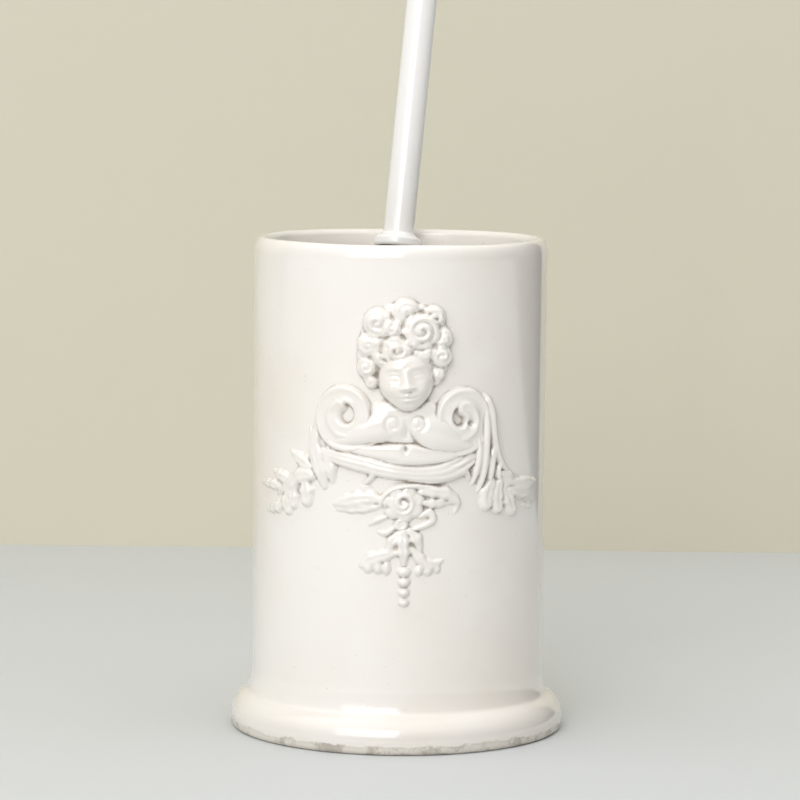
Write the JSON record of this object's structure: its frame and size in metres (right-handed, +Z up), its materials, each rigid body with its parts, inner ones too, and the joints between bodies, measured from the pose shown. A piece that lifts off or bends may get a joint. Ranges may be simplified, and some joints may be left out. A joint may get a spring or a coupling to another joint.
{
  "type": "toilet brush holder",
  "caption": "White glazed ceramic toilet brush holder, a straight pot on a flared foot with applied scroll and leaf relief, holding a loose brush that leans on its wall.",
  "frame": {"origin": "centre of the pot's flat underside, on the table", "axes": "+Z up along the pot's axis, -Y towards the side with the ornament, +X to the right of someone who looks at the ornament"},
  "size_m": [0.1358, 0.1565, 0.3856],
  "materials": {
    "glaze": "gloss",
    "relief_glaze": "gloss, grey-brown wash in the hollows",
    "white_plastic": "gloss",
    "bristles": "translucent filament",
    "rubber": "matt",
    "zinc_steel": "zinc plated",
    "handle_coating": "white gloss coating"
  },
  "bodies": {
    "holder": {"pot": "glaze", "cherub_head": "relief_glaze", "volute_left": "relief_glaze", "volute_right": "relief_glaze", "chin_scrolls": "relief_glaze", "drapery_panel": "relief_glaze", "swag": "relief_glaze", "acanthus_left": "relief_glaze", "acanthus_right": "relief_glaze", "spray_left": "relief_glaze", "spray_right": "relief_glaze", "rosette": "relief_glaze", "rosette_leaves": "relief_glaze", "pendant_husk": "relief_glaze", "pendant_beads": "relief_glaze"},
    "brush_head": {"brush_core": "white_plastic", "bristle_row_1": "bristles", "bristle_row_2": "bristles", "bristle_row_3": "bristles", "bristle_row_4": "bristles", "bristle_row_5": "bristles", "bristle_row_6": "bristles", "bristle_tip": "bristles"},
    "washer": {"sealing_washer": "rubber"},
    "handle": {"collar": "handle_coating", "thread_stud": "zinc_steel", "handle_tube": "handle_coating", "handle_cap": "handle_coating"}
  },
  "joints": [
    {"name": "brush_lift", "type": "slide", "parent": "holder", "child": "brush_head", "axis": [0, 0, 1], "range_m": [0, 0.2]},
    {"name": "handle_travel", "type": "slide", "parent": "brush_head", "child": "washer", "axis": [0.0888, 0.1986, 0.9761], "range_m": [0, 0.01]},
    {"name": "handle_turn", "type": "hinge", "parent": "washer", "child": "handle", "pos_m": [-0.0015, 0.0412, 0.195], "axis": [0.0888, 0.1986, 0.9761], "range_deg": [0, 1450]}
  ],
  "couplings": [
    {"joint": "handle_turn", "follows": "handle_travel", "rad_per_m": 2513.3}
  ]
}
